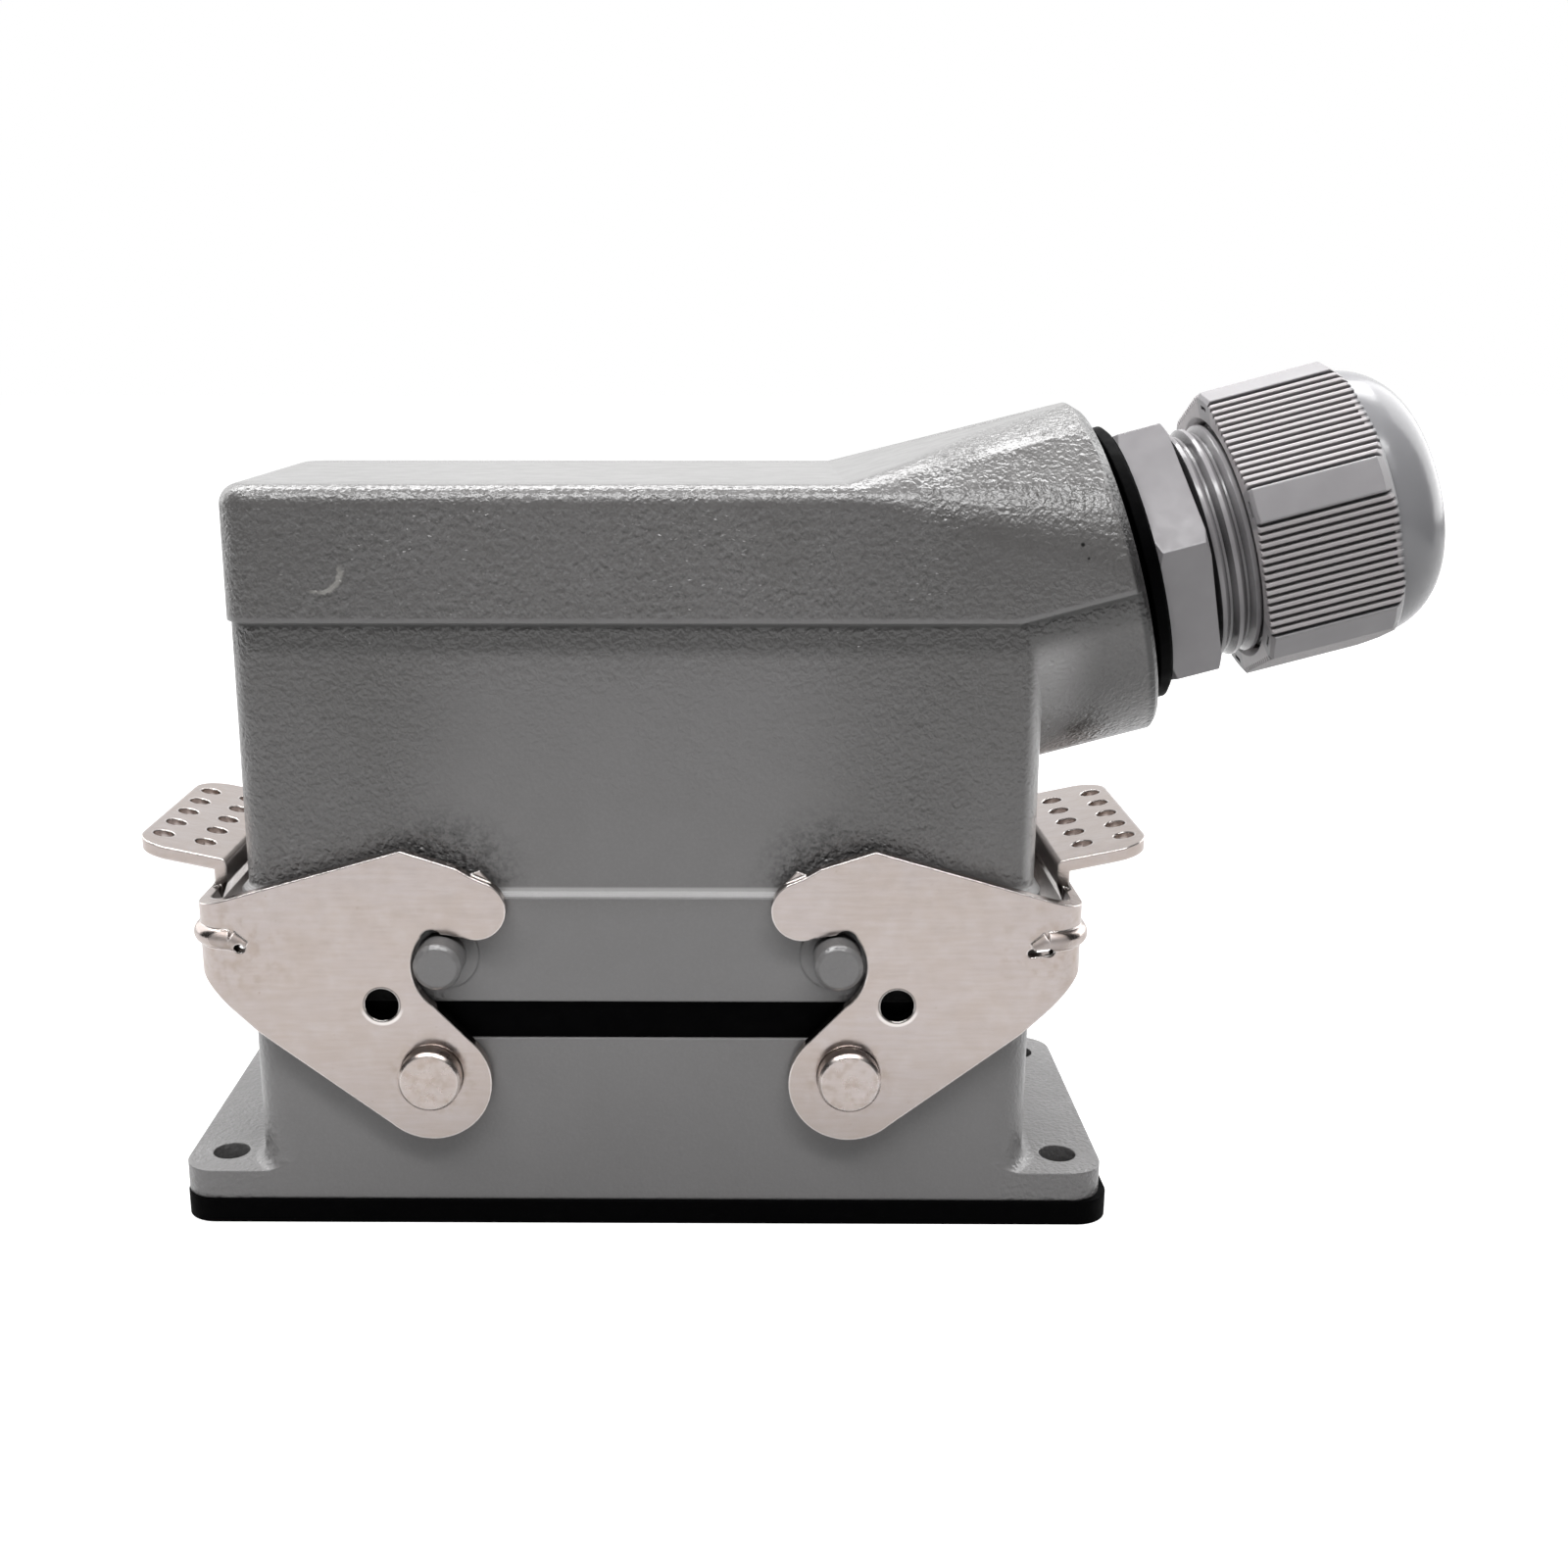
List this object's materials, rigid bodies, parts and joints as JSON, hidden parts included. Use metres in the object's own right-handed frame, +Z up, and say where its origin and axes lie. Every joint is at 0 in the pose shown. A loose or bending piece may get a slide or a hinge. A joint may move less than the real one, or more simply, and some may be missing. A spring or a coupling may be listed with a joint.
{
  "type": "heavy duty rectangular connector",
  "caption": "Heavy duty rectangular connector: bulkhead housing with two locking levers holding a hood with an angled cable gland; mates and locks multi-pole power lines",
  "frame": {"origin": "middle of the flange's hole pattern, on the lower face of the mounting gasket", "axes": "+X along the flange towards the cable gland, +Y across the flange to the rear of the picture, +Z up, away from the panel"},
  "size_m": [0.1569, 0.053, 0.1024],
  "materials": {
    "grey_paint": "satin grey powder coat over cast aluminium",
    "nickel_plate": "nickel plated steel, softly reflecting",
    "black_rubber": "matt black rubber",
    "grey_plastic": "semi gloss grey plastic",
    "insert_plastic": "light grey glass filled plastic",
    "contact_brass": "machined copper alloy",
    "zinc_steel": "zinc plated steel"
  },
  "bodies": {
    "connector": {"mounting_gasket": "black_rubber", "bulkhead_housing": "grey_paint", "interface_seal": "black_rubber", "hood": "grey_paint", "pivot_pin_front_left": "nickel_plate", "pivot_pin_front_right": "nickel_plate", "pivot_pin_rear_left": "nickel_plate", "pivot_pin_rear_right": "nickel_plate", "female_insert": "insert_plastic", "male_insert": "insert_plastic", "female_contacts": "contact_brass", "male_contacts": "contact_brass", "female_terminal_screws": "zinc_steel", "male_terminal_screws": "zinc_steel", "female_earth_plate_left": "zinc_steel", "female_earth_plate_right": "zinc_steel", "male_earth_plate_left": "zinc_steel", "male_earth_plate_right": "zinc_steel", "female_earth_screws": "zinc_steel", "male_earth_screws": "zinc_steel", "female_fixing_screws": "zinc_steel", "male_fixing_screws": "zinc_steel", "gland_washer": "black_rubber", "gland_body": "grey_plastic", "gland_seal": "black_rubber"},
    "lever_left": {"locking_lever_left": "nickel_plate"},
    "lever_right": {"locking_lever_right": "nickel_plate"},
    "nut": {"gland_nut": "grey_plastic"}
  },
  "joints": [
    {"name": "left_lever_hinge", "type": "hinge", "parent": "connector", "child": "lever_left", "pos_m": [-0.02475, 0, 0.0202], "axis": [0, -1, 0], "range_deg": [0, 45]},
    {"name": "right_lever_hinge", "type": "hinge", "parent": "connector", "child": "lever_right", "pos_m": [0.02475, 0, 0.0202], "axis": [0, 1, 0], "range_deg": [0, 45]},
    {"name": "gland_nut_turn", "type": "hinge", "parent": "connector", "child": "nut", "pos_m": [0.0434, 0, 0.0739], "axis": [0.9659, 0, 0.2588], "range_deg": [-930, 1350]}
  ]
}
